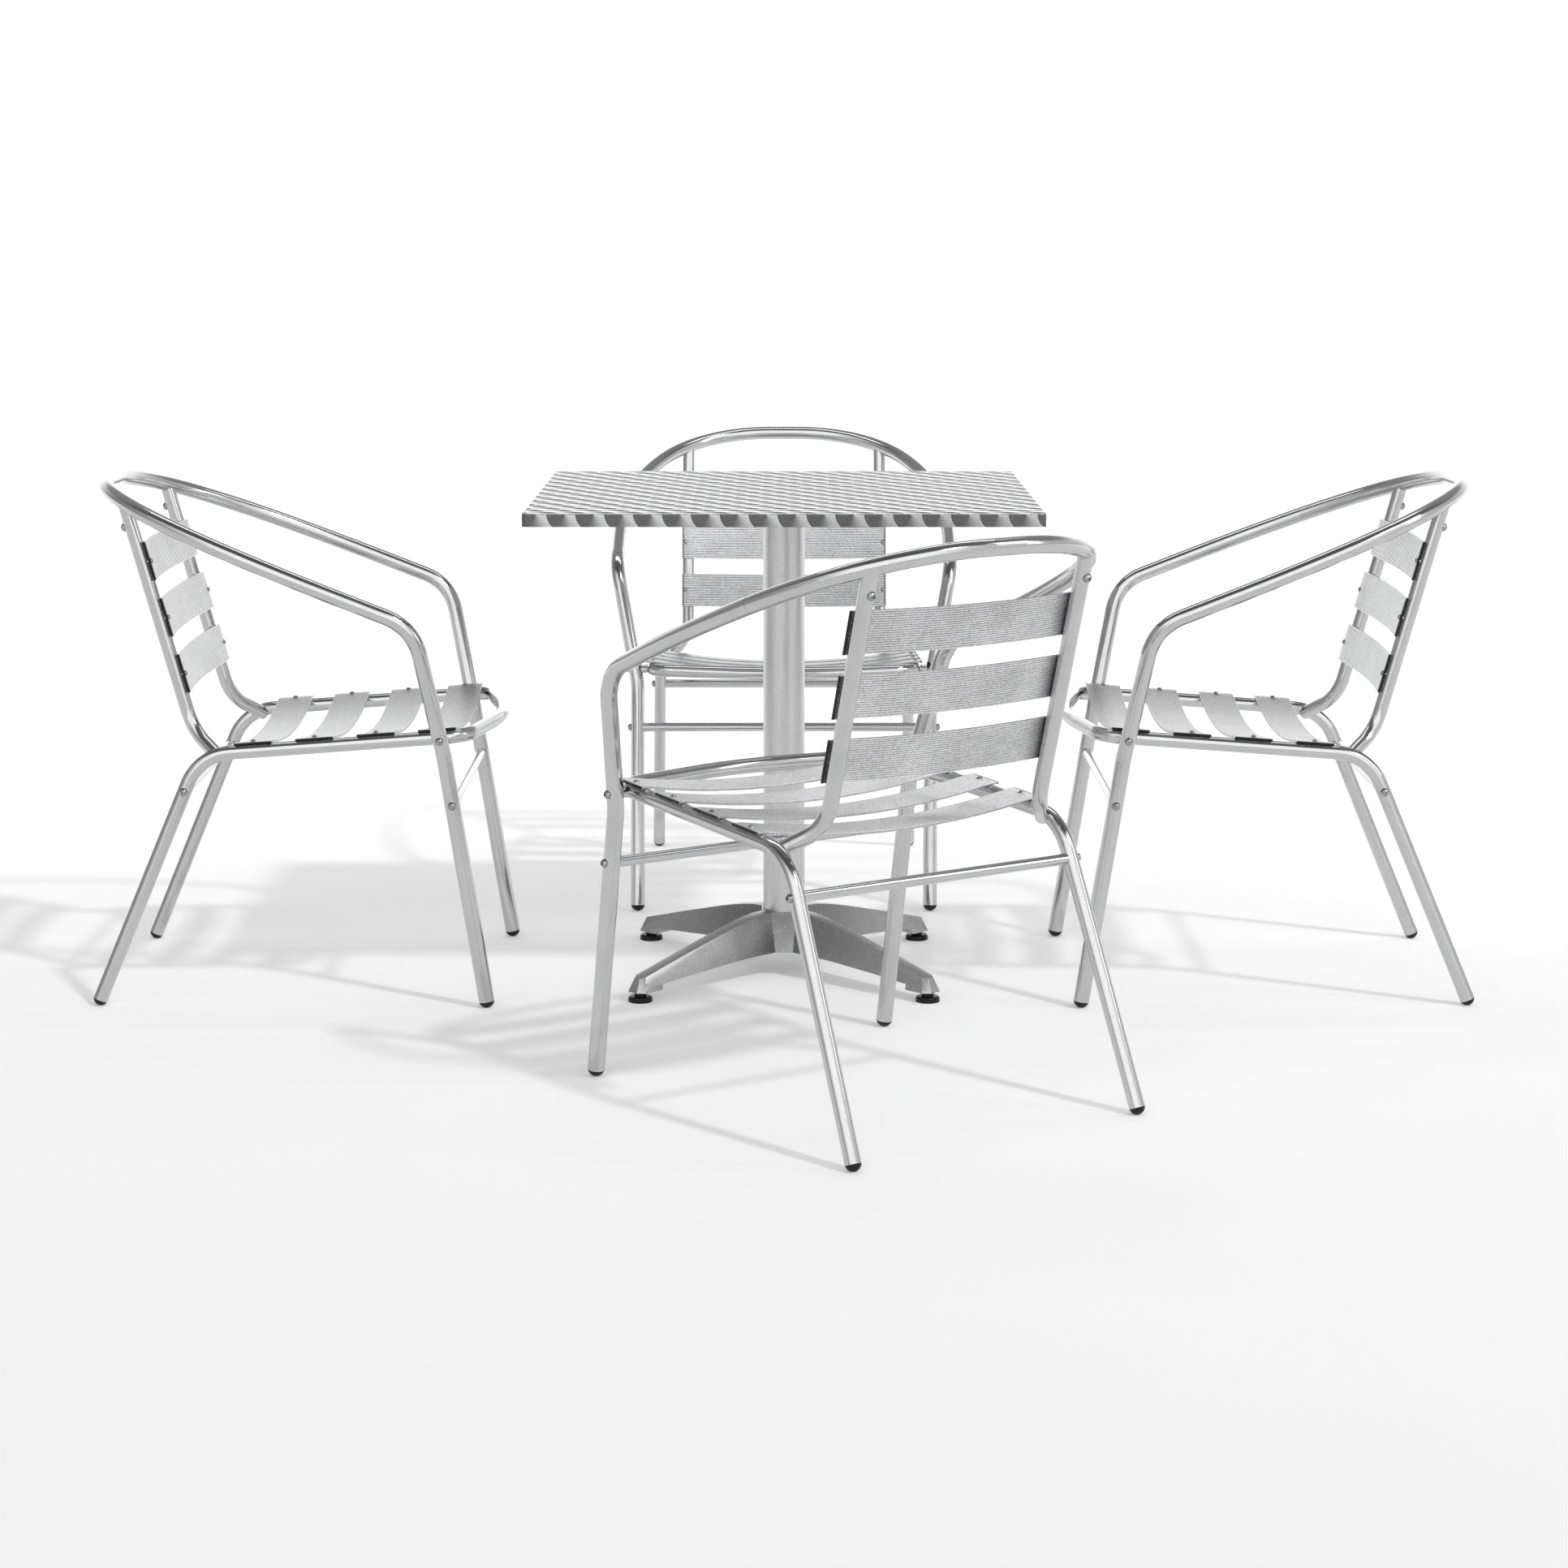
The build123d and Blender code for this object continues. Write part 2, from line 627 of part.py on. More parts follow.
def base_hub():
    low = Plane.XY.offset(HUB_BOTTOM) * Rectangle(2 * HUB_BOTTOM_HALF, 2 * HUB_BOTTOM_HALF)
    high = Plane.XY.offset(HUB_TOP) * Rectangle(2 * HUB_TOP_HALF, 2 * HUB_TOP_HALF)
    return loft([low, high])


def base_casting():
    """Four arms on the diagonals around a square hub that holds the column."""
    base = base_hub()
    arm = finished_base_arm()
    for turn in (45, 135, 225, 315):
        base += Rot(0, 0, turn) * arm
    base -= pin((0, 0, socket_floor()), (0, 0, 1), COLUMN_RADIUS + RUNNING_GAP, SOCKET_DEPTH)
    base -= pin((0, 0, HUB_BOTTOM), (0, 0, 1), ROD_HOLE_RADIUS, SOCKET_DEPTH + HUB_TOP)
    pocket_depth = socket_floor() - SOCKET_FLOOR - HUB_BOTTOM
    return base - pin((0, 0, HUB_BOTTOM), (0, 0, 1), POCKET_RADIUS, pocket_depth)


def levelling_foot(x, y):
    """A glide pad, its neck and the threaded stud that screws into an arm's end."""
    neck_top = BLOCK_BOTTOM - SHOULDER_GAP
    profile = Curve() + [
        Line((0, 0), (PAD_RADIUS, 0)),
        Line((PAD_RADIUS, 0), (PAD_RADIUS, PAD_RIM)),
        ThreePointArc(
            (PAD_RADIUS, PAD_RIM),
            (PAD_RADIUS - PAD_SHOULDER_DIP, PAD_HEIGHT - PAD_SHOULDER_DIP),
            (PAD_RADIUS - PAD_HEIGHT + PAD_RIM, PAD_HEIGHT),
        ),
        Line((PAD_RADIUS - PAD_HEIGHT + PAD_RIM, PAD_HEIGHT), (NECK_RADIUS, PAD_HEIGHT)),
        Line((NECK_RADIUS, PAD_HEIGHT), (NECK_RADIUS, neck_top)),
        Line((NECK_RADIUS, neck_top), (STUD_RADIUS, neck_top)),
        Line((STUD_RADIUS, neck_top), (STUD_RADIUS, STUD_TOP)),
        Line((STUD_RADIUS, STUD_TOP), (0, STUD_TOP)),
        Line((0, STUD_TOP), (0, 0)),
    ]
    foot = revolve(Plane.XZ * make_face(profile), axis=Axis.Z)
    return Pos(x, y, 0) * foot


def table_pieces():
    pieces = {
        "tabletop_sheet": [tabletop_sheet()],
        "tabletop_core": [drilled_core()],
        "top_spider": [top_spider()],
        "spider_screws": spider_screws(),
        "column": [column()],
        "tie_rod": [tie_rod()],
        "tie_rod_nut_and_washer": tie_rod_nut_and_washer(),
        "base_casting": [base_casting()],
    }
    names = ("front_left", "front_right", "back_left", "back_right")
    for name, (x, y) in zip(names, diagonal_points(FOOT_OFFSET)):
        pieces[f"levelling_foot_{name}"] = [levelling_foot(x, y)]
    return pieces


def drilled_core():
    """The core board with its screw holes."""
    core = tabletop_core()
    depth = SCREW_LENGTH - SPIDER_THICKNESS
    for x, y in diagonal_points(SPIDER_SCREW_AT / sqrt(2)):
        core -= pin((x, y, core_bottom()), (0, 0, 1), SCREW_RADIUS, depth)
    return core


# ---- files ------------------------------------------------------------------------
def solids_of(shapes):
    return [solid for shape in shapes for solid in shape.solids()]


def write_node(name, shapes):
    """One STEP file a node, with each of its solids kept apart."""
    solids = solids_of(shapes)
    node = solids[0] if len(solids) == 1 else Compound(solids)
    node.label = name
    export_step(node, f"parts/{name}.step")


def main():
    os.makedirs("parts", exist_ok=True)
    for name, shapes in table_pieces().items():
        write_node(name, shapes)
    chair = chair_pieces()
    for chair_name, heading, x, y in CHAIRS:
        place = Location((x, y, 0), (0, 0, heading))
        for name, shapes in chair.items():
            placed = [place * solid for solid in solids_of(shapes)]
            write_node(f"{chair_name}_{name}", placed)


main()
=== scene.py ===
import json
from math import cos, radians, sin

import bmesh
import bpy
import numpy as np
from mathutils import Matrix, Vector


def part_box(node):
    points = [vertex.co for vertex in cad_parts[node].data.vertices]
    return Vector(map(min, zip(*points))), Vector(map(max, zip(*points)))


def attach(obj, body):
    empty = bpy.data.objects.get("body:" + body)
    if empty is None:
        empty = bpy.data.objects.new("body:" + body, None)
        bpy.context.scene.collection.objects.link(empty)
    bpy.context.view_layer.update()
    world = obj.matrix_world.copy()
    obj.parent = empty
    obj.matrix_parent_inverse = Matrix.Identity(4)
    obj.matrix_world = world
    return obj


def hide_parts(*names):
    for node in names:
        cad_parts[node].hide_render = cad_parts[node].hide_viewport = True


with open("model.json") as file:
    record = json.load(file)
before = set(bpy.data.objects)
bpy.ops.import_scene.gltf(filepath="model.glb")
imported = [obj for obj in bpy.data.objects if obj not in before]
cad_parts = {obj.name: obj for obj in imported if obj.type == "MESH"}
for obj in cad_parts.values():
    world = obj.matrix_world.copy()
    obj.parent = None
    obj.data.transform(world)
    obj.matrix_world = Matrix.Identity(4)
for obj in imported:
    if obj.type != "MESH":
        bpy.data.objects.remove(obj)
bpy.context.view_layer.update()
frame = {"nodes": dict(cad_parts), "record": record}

# Looks of the patio dining set: a pedestal table and four slatted armchairs.
# Metres and degrees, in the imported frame: the origin is on the floor under the column,
# the photograph's camera looks along +Y, and the chairs face the table.

CHAIRS = ("left_chair", "right_chair", "back_chair", "front_chair")

# ---- slats: sheet that hugs a tube at each end and sags between the two ----------
SLAT_THICKNESS = 0.0035
SLAT_OVERHANG = 0.010  # from the tube's axis to the slat's cut end
TUBE_RADIUS = 0.010
SLAT_FIT = 0.00005  # gap between sheet and tube
HUG_STEPS = 4  # stations round a tube
SAG_STEPS = 16  # stations along the sag
RIB_PITCH = 0.0029
RIB_DEPTH = 0.0011
RIB_SHOULDER = 0.2  # width of a rib's flank, as a share of the rib's pitch
SHOULDER_DROP = 0.12  # height from shoulder to crest, as a share of the rib's depth
CUT_EDGE = 0.004  # length of the painted shadow strip at a cut end
CUT_SHADE = 3.2  # darkness of that painted shadow, where a groove's painted shade has 1
PAINTED_SHADE_ATTRIBUTE = "groove"  # mesh attribute that carries the painted shade
GROOVE_LOSS = 0.30  # share of the light that a darkness of 1 takes away

# ---- engine-turned top: overlapping polished discs -------------------------------
DISC_PITCH = 0.0384  # along a row
DISC_ROW = 0.0315  # from row to row
DISC_RADIUS = 0.0245
DISC_DISH = 0.0024  # depth of the hollow that a disc looks like
EDGE_SHIFT = 0.0157  # of the row round the folded edge
SCRATCH_PITCH = 0.0011  # between the circular scratches
DARK_REFLECTION_FADE_IN = (-0.1, 0.2)  # angles where a disc's painted dark reflection begins and ends, in radians from +X towards +Y
DARK_REFLECTION_FADE_OUT = (1.5, 2.6)  # in radians from +X towards +Y
DARK_REFLECTION_REACH = 0.60  # share of the radius from which the painted dark reflection is full
EDGE_REFLECTION_FADE = (-0.6, 1.1)  # cosines between which the edge's discs go from dark to light, a painted reflection
EDGE_REFLECTION_LIGHTEST = 0.60
FACES_UP = 0.5  # the sheet's normal: more z than this is the top,
FACES_SIDE = 0.7  # more x than this is the left or right edge
METAL_OVER_TONE = (0.0, 0.6, 0.35, 1.0)  # ramp that makes the painted dark reflections less metallic
RING_OFFSET = 2.0  # shifts the scratches between the painted light and dark parts

# ---- base casting ----------------------------------------------------------------
CASTING_FLAT = 0.6  # facets that meet at less than this become one face
CASTING_SHARP = 12.0  # edges sharper than this are rounded
CASTING_EASE = 0.0026  # width of the rounding
CASTING_SEGMENTS = 5
CASTING_CREASE = 35.0  # edges sharper than this still shade as edges
CREASE = 50.0  # the same for every other mesh
SEAM_WELD = 1e-6  # points closer than this are one, in a CAD node
CASTING_WELD = 1e-5
CASTING_SHADE_FADE = (0.04, 0.24)  # distances from the column over which its painted shade fades out

# ---- camera ----------------------------------------------------------------------
CAMERA_AT = (0.0, -4.8716, 1.1235)
CAMERA_PITCH = 80.115
CAMERA_LENS = 78.25
CAMERA_CLIP_END = 100.0

# ---- studio ----------------------------------------------------------------------
SUN_TOWARDS = (0.74, -0.67, 1.03)
SUN_SIZE = 4.0  # its angle across, which softens the shadows
SUN_STRENGTH = 0.98
LIGHT_TARGET = (0.0, 0.0, 0.4)
AREA_LIGHTS = {  # place, size, power in watts
    "overhead": ((0.0, 0.8, 3.4), (3.2, 0.5), 14.0),
    "side_right": ((3.2, -1.2, 2.2), (0.5, 2.0), 10.0),
}
FLOOR_HALF = 80.0
FLOOR_GLOW_FROM = (-0.5, 0.17)  # y, and how much the floor glows there and nearer
FLOOR_GLOW_TO = (3.5, 0.60)  # y, and how much it glows there and beyond
# Ramps over the x or y of a direction that make up the world: low, high, from, to.
WALL_BRIGHTNESS = (-0.5, 0.3, 1.60, 1.45)  # over y
LEFT_FLAG = (-0.95, -0.35, 1.1, 0.0)  # over x, taken off the wall's brightness
RIGHT_FLAG = (0.35, 0.95, 0.0, 0.75)  # over x, the same
CEILING_BRIGHTNESS = (-0.3, 0.6, 0.12, 0.36)  # over y
WALL_TOP = (-0.7, 0.4, 0.60, 0.30)  # over y, the z of a direction where the wall ends
WALL_FADE = 0.24  # the rise in z over which it turns into ceiling


# ---- node trees ------------------------------------------------------------------
class Field:
    """A number or vector in a node tree, with the arithmetic that shaders need."""

    def __init__(self, tree, socket):
        self.tree = tree
        self.socket = socket

    def math(self, operation, *others):
        node = self.tree.nodes.new("ShaderNodeMath")
        node.operation = operation
        for slot, value in zip(node.inputs, (self, *others)):
            feed(self.tree, slot, value)
        return Field(self.tree, node.outputs[0])

    def __add__(self, other):
        return self.math("ADD", other)

    def __sub__(self, other):
        return self.math("SUBTRACT", other)

    def __mul__(self, other):
        return self.math("MULTIPLY", other)

    def __truediv__(self, other):
        return self.math("DIVIDE", other)

    def floor(self):
        return self.math("FLOOR")

    def size(self):
        return self.math("ABSOLUTE")

    def sign(self):
        return self.math("SIGN")

    def above(self, level):
        return self.math("GREATER_THAN", level)

    def below(self, level):
        return self.math("LESS_THAN", level)

    def remainder(self, step):
        return self.math("FLOORED_MODULO", step)

    def ramp(self, low, high, from_value=0.0, to_value=1.0):
        """A smooth step from one value at low to another at high."""
        node = self.tree.nodes.new("ShaderNodeMapRange")
        node.interpolation_type = "SMOOTHSTEP"
        for name, value in (
            ("Value", self), ("From Min", low), ("From Max", high),
            ("To Min", from_value), ("To Max", to_value),
        ):
            feed(self.tree, node.inputs[name], value)
        return Field(self.tree, node.outputs[0])

    def parts(self):
        node = self.tree.nodes.new("ShaderNodeSeparateXYZ")
        feed(self.tree, node.inputs[0], self)
        return [Field(self.tree, output) for output in node.outputs]


def feed(tree, slot, value):
    """Links a field to a socket, or sets a plain value on it."""
    if isinstance(value, Field):
        tree.links.new(value.socket, slot)
    else:
        slot.default_value = value


def inverse(share):
    """One less a field."""
    return share * -1.0 + 1.0


def choose(mask, if_one, if_zero):
    """Picks between two fields with a mask of ones and zeros."""
    return mask * if_one + inverse(mask) * if_zero


class Finish:
    """A procedural material on one Principled shader, with plain values on its sockets."""

    def __init__(self, name, **sockets):
        self.material = bpy.data.materials.new(name)
        self.material.use_nodes = True
        self.tree = self.material.node_tree
        self.shader = self.tree.nodes["Principled BSDF"]
        for key, value in sockets.items():
            self.shader.inputs[key.replace("_", " ")].default_value = value
        self.place = Field(self.tree, self.new("ShaderNodeTexCoord").outputs["Object"])
        self.normal = None

    def new(self, kind):
        return self.tree.nodes.new(kind)

    def number(self, value):
        node = self.new("ShaderNodeValue")
        node.outputs[0].default_value = value
        return Field(self.tree, node.outputs[0])

    def vector(self, x, y, z=0.0):
        node = self.new("ShaderNodeCombineXYZ")
        for slot, value in zip(node.inputs, (x, y, z)):
            feed(self.tree, slot, value)
        return Field(self.tree, node.outputs[0])

    def stretched(self, scale):
        """The place on the object, scaled by its own factor along each axis."""
        node = self.new("ShaderNodeMapping")
        feed(self.tree, node.inputs["Vector"], self.place)
        node.inputs["Scale"].default_value = scale
        return Field(self.tree, node.outputs[0])

    def noise(self, scale, detail, at=None):
        """Smooth noise around one half, with about scale bumps to a metre."""
        node = self.new("ShaderNodeTexNoise")
        feed(self.tree, node.inputs["Vector"], self.place if at is None else at)
        node.inputs["Scale"].default_value = scale
        node.inputs["Detail"].default_value = detail
        return Field(self.tree, node.outputs["Fac"])

    def painted(self, name):
        """A number that the mesh carries at its points, zero where it carries none."""
        node = self.new("ShaderNodeAttribute")
        node.attribute_name = name
        return Field(self.tree, node.outputs["Fac"])

    def speckle(self, pitch):
        """A random value for each small grain of the surface."""
        node = self.new("ShaderNodeTexVoronoi")
        feed(self.tree, node.inputs["Vector"], self.place)
        node.inputs["Scale"].default_value = 1.0 / pitch
        grain = self.new("ShaderNodeSeparateColor")
        self.tree.links.new(node.outputs["Color"], grain.inputs[0])
        return Field(self.tree, grain.outputs[0])

    def vary(self, socket, field):
        """Lets a field drive a socket of the shader."""
        feed(self.tree, self.shader.inputs[socket], field)

    def colour(self, share, dark, light):
        """Base colour from dark at a share of zero to light at a share of one."""
        node = self.new("ShaderNodeMix")
        node.data_type = "RGBA"
        feed(self.tree, node.inputs["Factor"], share)
        ends = [socket for socket in node.inputs if socket.type == "RGBA"]
        for end, tone in zip(ends, (dark, light)):
            end.default_value = (*tone, 1.0)
        mixed = next(socket for socket in node.outputs if socket.type == "RGBA")
        self.vary("Base Color", Field(self.tree, mixed))

    def bump(self, height, depth, strength=1.0):
        """Adds relief: a height of one stands depth metres above a height of zero."""
        node = self.new("ShaderNodeBump")
        node.inputs["Strength"].default_value = strength
        node.inputs["Distance"].default_value = depth
        feed(self.tree, node.inputs["Height"], height)
        if self.normal is not None:
            feed(self.tree, node.inputs["Normal"], self.normal)
        self.normal = Field(self.tree, node.outputs[0])
        self.vary("Normal", self.normal)


def grey(value):
    """A grey with a trace of blue."""
    return (value, value, value * 1.01)


# ---- materials -------------------------------------------------------------------
def drawn_tube():
    """Polished and anodised tube with a fine grain and faint dull patches."""
    look = Finish("tube_aluminium", Metallic=1.0)
    grain = look.speckle(pitch=0.0011)
    haze = look.noise(scale=22.0, detail=4.0)
    look.colour(grain * 0.4 + haze * 0.6, dark=grey(0.46), light=grey(0.62))
    look.vary("Roughness", haze * 0.07 + grain * 0.02 + 0.09)
    look.bump(look.noise(scale=1400.0, detail=2.0), depth=0.00002, strength=0.5)
    return look.material


def ribbed_sheet():
    """Anodised sheet of the slats, with painted shade along each groove and a painted shadow
    strip at each cut end.
    """
    look = Finish("slat_aluminium", Metallic=1.0)
    grain = look.speckle(pitch=0.0014)
    haze = look.noise(scale=16.0, detail=4.0)
    # Painted shade: the groove points and the cut ends' rings take light off the colour.
    kept_light = inverse(look.painted(PAINTED_SHADE_ATTRIBUTE) * GROOVE_LOSS)
    tone = (grain * 0.3 + haze * 0.3 + 0.4) * kept_light
    look.colour(tone, dark=grey(0.0), light=grey(0.96))
    look.vary("Roughness", haze * 0.10 + grain * 0.08 + 0.26)
    look.bump(look.noise(scale=700.0, detail=2.0), depth=0.00005, strength=0.5)
    return look.material


def brushed_column():
    """Column tube brushed lengthwise."""
    look = Finish("column_aluminium", Metallic=1.0)
    lengthwise = look.stretched((900.0, 900.0, 14.0))
    streaks = look.noise(scale=1.0, detail=4.0, at=lengthwise)
    grain = look.speckle(pitch=0.0012)
    look.colour(streaks * 0.7 + grain * 0.3, dark=grey(0.42), light=grey(0.74))
    look.vary("Roughness", streaks * 0.16 + 0.24)
    look.bump(streaks, depth=0.00006, strength=0.6)
    return look.material


def cast_metal():
    """Satin casting with a fine sandy grain, and painted shade that darkens it towards the
    column.
    """
    look = Finish("cast_aluminium", Metallic=1.0)
    grain = look.speckle(pitch=0.0013)
    haze = look.noise(scale=30.0, detail=5.0)
    x, y, _ = look.place.parts()
    # Painted shade: darker near the column and lighter outward, in place of the dimmer
    # reflections there.
    shade_fades_outward = (x * x + y * y).math("SQRT").ramp(*CASTING_SHADE_FADE)
    tone = grain * 0.2 + haze * 0.3 + shade_fades_outward * 0.5
    look.colour(tone, dark=grey(0.19), light=grey(0.54))
    look.vary("Roughness", grain * 0.03 + haze * 0.06 + 0.22)
    look.bump(look.noise(scale=1300.0, detail=2.0), depth=0.00003, strength=0.6)
    return look.material


def disc_field(look, u, v, centres):
    """Angle and radius of a place about the first of the discs that covers it."""
    angle = look.number(0.0)
    radius = look.number(DISC_RADIUS)
    free = look.number(1.0)
    for centre_u, centre_v in centres:
        du = u - centre_u
        dv = v - centre_v
        reach = (du * du + dv * dv).math("SQRT")
        taken = free * reach.below(DISC_RADIUS)
        angle = choose(taken, dv.math("ARCTAN2", du), angle)
        radius = choose(taken, reach, radius)
        free = free - taken
    return angle, radius


def swirls_on_top(look, x, y):
    """Rows of discs: every other row is shifted, and each lies over the row behind it."""
    row = (y / DISC_ROW).floor()
    centres = []
    for step in (0.0, 1.0):
        line = row + step
        shift = line.remainder(2.0) * (DISC_PITCH / 2)
        column = ((x - shift) / DISC_PITCH).floor()
        for place in (0.0, 1.0):
            centres.append(((column + place) * DISC_PITCH + shift, line * DISC_ROW))
    return disc_field(look, x, y, centres)


def swirls_on_edge(look, along, from_top):
    """One row of discs along the folded edge, their centres at its top."""
    column = ((along - EDGE_SHIFT) / DISC_PITCH).floor()
    centres = [((column + place) * DISC_PITCH + EDGE_SHIFT, 0.0) for place in (1.0, 0.0)]
    return disc_field(look, along, from_top, centres)


def engine_turned_sheet():
    """Sheet with overlapping polished discs, on the top and round the folded edge, each
    darkened in part by a painted reflection.
    """
    look = Finish(
        "top_sheet_metal", Metallic=1.0, Anisotropic=0.85, Specular_IOR_Level=0.0,
    )
    x, y, z = look.place.parts()
    facing = Field(look.tree, look.new("ShaderNodeNewGeometry").outputs["True Normal"])
    nx, ny, nz = facing.parts()
    on_top = nz.above(FACES_UP)
    on_side = nx.size().above(FACES_SIDE)
    along = choose(on_side, y * nx.sign(), x * (ny.sign() * -1.0))
    top_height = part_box("tabletop_sheet")[1].z
    top_angle, top_radius = swirls_on_top(look, x, y)
    edge_angle, edge_radius = swirls_on_edge(look, along, z - top_height)

    # Painted reflection: each disc on the top goes dark over a sector of its turn, and the
    # discs round the edge go from dark to light with their angle, in place of the studio's
    # reflection in their scratches.
    share = top_radius / DISC_RADIUS
    fade_in = top_angle.ramp(*DARK_REFLECTION_FADE_IN)
    fade_out = top_angle.ramp(*DARK_REFLECTION_FADE_OUT, 1.0, 0.0)
    painted_dark_reflection = fade_in * fade_out * share.ramp(0.0, DARK_REFLECTION_REACH)
    edge_cosine = edge_angle.math("COSINE")
    edge_painted_reflection = edge_cosine.ramp(*EDGE_REFLECTION_FADE, 0.0, EDGE_REFLECTION_LIGHTEST)
    tone = choose(on_top, inverse(painted_dark_reflection), edge_painted_reflection)

    # The scratches run round each disc, and the gloss is stretched along the tangent.
    sine = choose(on_top, top_angle.math("SINE"), edge_angle.math("SINE"))
    cosine = choose(on_top, top_angle.math("COSINE"), edge_cosine)
    tangent = look.vector(
        sine * -1.0 * inverse(on_side), on_top * cosine, inverse(on_top) * cosine,
    )
    look.vary("Tangent", tangent)

    radius = choose(on_top, top_radius, edge_radius)
    rings = look.vector(radius * (1.0 / SCRATCH_PITCH), tone * RING_OFFSET)
    turned = look.noise(scale=1.0, detail=2.0, at=rings)
    grain = look.speckle(pitch=0.0012)
    colour_share = tone * 0.85 + turned * 0.10 + grain * 0.05
    look.colour(colour_share, dark=grey(0.06), light=grey(0.90))
    # The painted dark reflections are less metallic, so they stay dark.
    look.vary("Metallic", tone.ramp(*METAL_OVER_TONE))
    look.vary("Roughness", tone * -0.06 + turned * 0.12 + 0.26)
    look.bump(turned, depth=0.00008, strength=0.7)
    look.bump(share * share * on_top, depth=DISC_DISH)
    return look.material


def moulded_black(name, rough):
    """Black plastic with a faint moulded grain and a few scuffs."""
    look = Finish(name, Specular_IOR_Level=0.25)
    scuffs = look.noise(scale=60.0, detail=5.0)
    look.colour(scuffs, dark=(0.004, 0.004, 0.005), light=(0.012, 0.012, 0.013))
    look.vary("Roughness", scuffs * 0.14 + rough)
    look.bump(look.noise(scale=500.0, detail=3.0), depth=0.00008, strength=0.5)
    return look.material


def plain_steel(name, dark, light, rough):
    """Small steel fasteners with fine turning marks."""
    look = Finish(name, Metallic=1.0)
    grain = look.speckle(pitch=0.0006)
    haze = look.noise(scale=140.0, detail=4.0)
    look.colour(grain * 0.4 + haze * 0.6, dark=grey(dark), light=grey(light))
    look.vary("Roughness", haze * 0.14 + rough)
    look.bump(look.noise(scale=1800.0, detail=2.0), depth=0.00003, strength=0.5)
    return look.material


def backed_board():
    """The board inside the top, in pale backing paper."""
    look = Finish("core_board")
    chips = look.noise(scale=1.0, detail=5.0, at=look.stretched((260.0, 700.0, 400.0)))
    flakes = look.speckle(pitch=0.003)
    look.colour(chips * 0.6 + flakes * 0.4, dark=grey(0.50), light=grey(0.68))
    look.vary("Roughness", chips * 0.2 + 0.6)
    look.bump(chips, depth=0.0004, strength=0.6)
    return look.material


def studio_floor():
    """Pale matt floor with a painted glow that brightens it, more towards the back, so that
    it fades into the white backdrop.
    """
    look = Finish(
        "studio_floor", Specular_IOR_Level=0.0, Emission_Color=(1.0, 1.0, 1.0, 1.0),
    )
    _, y, _ = look.place.parts()
    wear = look.noise(scale=3.0, detail=4.0)
    look.colour(wear, dark=(0.88, 0.88, 0.88), light=(0.90, 0.90, 0.90))
    look.vary("Roughness", wear * 0.1 + 0.85)
    # Painted light: the glow lightens the floor, gently near the camera and more towards the
    # backdrop.
    near, near_glow = FLOOR_GLOW_FROM
    far, far_glow = FLOOR_GLOW_TO
    look.vary("Emission Strength", y.ramp(near, far, near_glow, far_glow))
    return look.material


MATERIALS = {
    "top_sheet_metal": engine_turned_sheet(),
    "core_board": backed_board(),
    "cast_aluminium": cast_metal(),
    "zinc_steel": plain_steel("zinc_steel", dark=0.40, light=0.62, rough=0.30),
    "column_aluminium": brushed_column(),
    "tube_aluminium": drawn_tube(),
    "slat_aluminium": ribbed_sheet(),
    "stainless_steel": plain_steel("stainless_steel", dark=0.22, light=0.46, rough=0.16),
    "black_plastic": moulded_black("black_plastic", rough=0.34),
    "glide_plastic": moulded_black("glide_plastic", rough=0.16),
}


# ---- meshes ----------------------------------------------------------------------
def add_piece(name, mesh, body, slot, replaced):
    """A finished mesh rides on a body, takes a slot's finish and replaces a CAD node."""
    piece = bpy.data.objects.new(name, mesh)
    bpy.context.scene.collection.objects.link(piece)
    mesh.materials.clear()
    mesh.materials.append(MATERIALS[slot])
    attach(piece, body)
    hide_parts(replaced)


def solids_of(node):
    """Corner points of each separate solid in a CAD node."""
    mesh = bmesh.new()
    mesh.from_mesh(frame["nodes"][node].data)
    bmesh.ops.remove_doubles(mesh, verts=mesh.verts, dist=SEAM_WELD)
    seen = set()
    solids = []
    for seed in mesh.verts:
        if seed in seen:
            continue
        seen.add(seed)
        front = [seed]
        points = []
        while front:
            vertex = front.pop()
            points.append(tuple(vertex.co))
            for edge in vertex.link_edges:
                other = edge.other_vert(vertex)
                if other not in seen:
                    seen.add(other)
                    front.append(other)
        solids.append(np.array(points))
    mesh.free()
    return solids


def slat_frame(points):
    """Middle, axes (along, across, out of the sheet at its ends) and extents of a slat."""
    middle = points.mean(0)
    _, _, axes = np.linalg.svd(points - middle, full_matrices=False)
    local = (points - middle) @ axes.T
    low, high = local.min(0), local.max(0)
    extents = high - low
    centre = middle + ((low + high) / 2) @ axes
    local = (points - centre) @ axes.T
    at_ends = np.abs(local[:, 0]) > extents[0] / 2 - SLAT_OVERHANG / 2
    if local[at_ends, 2].mean() < 0:
        axes[2] = -axes[2]
    axes[1] = np.cross(axes[2], axes[0])
    return centre, axes, extents


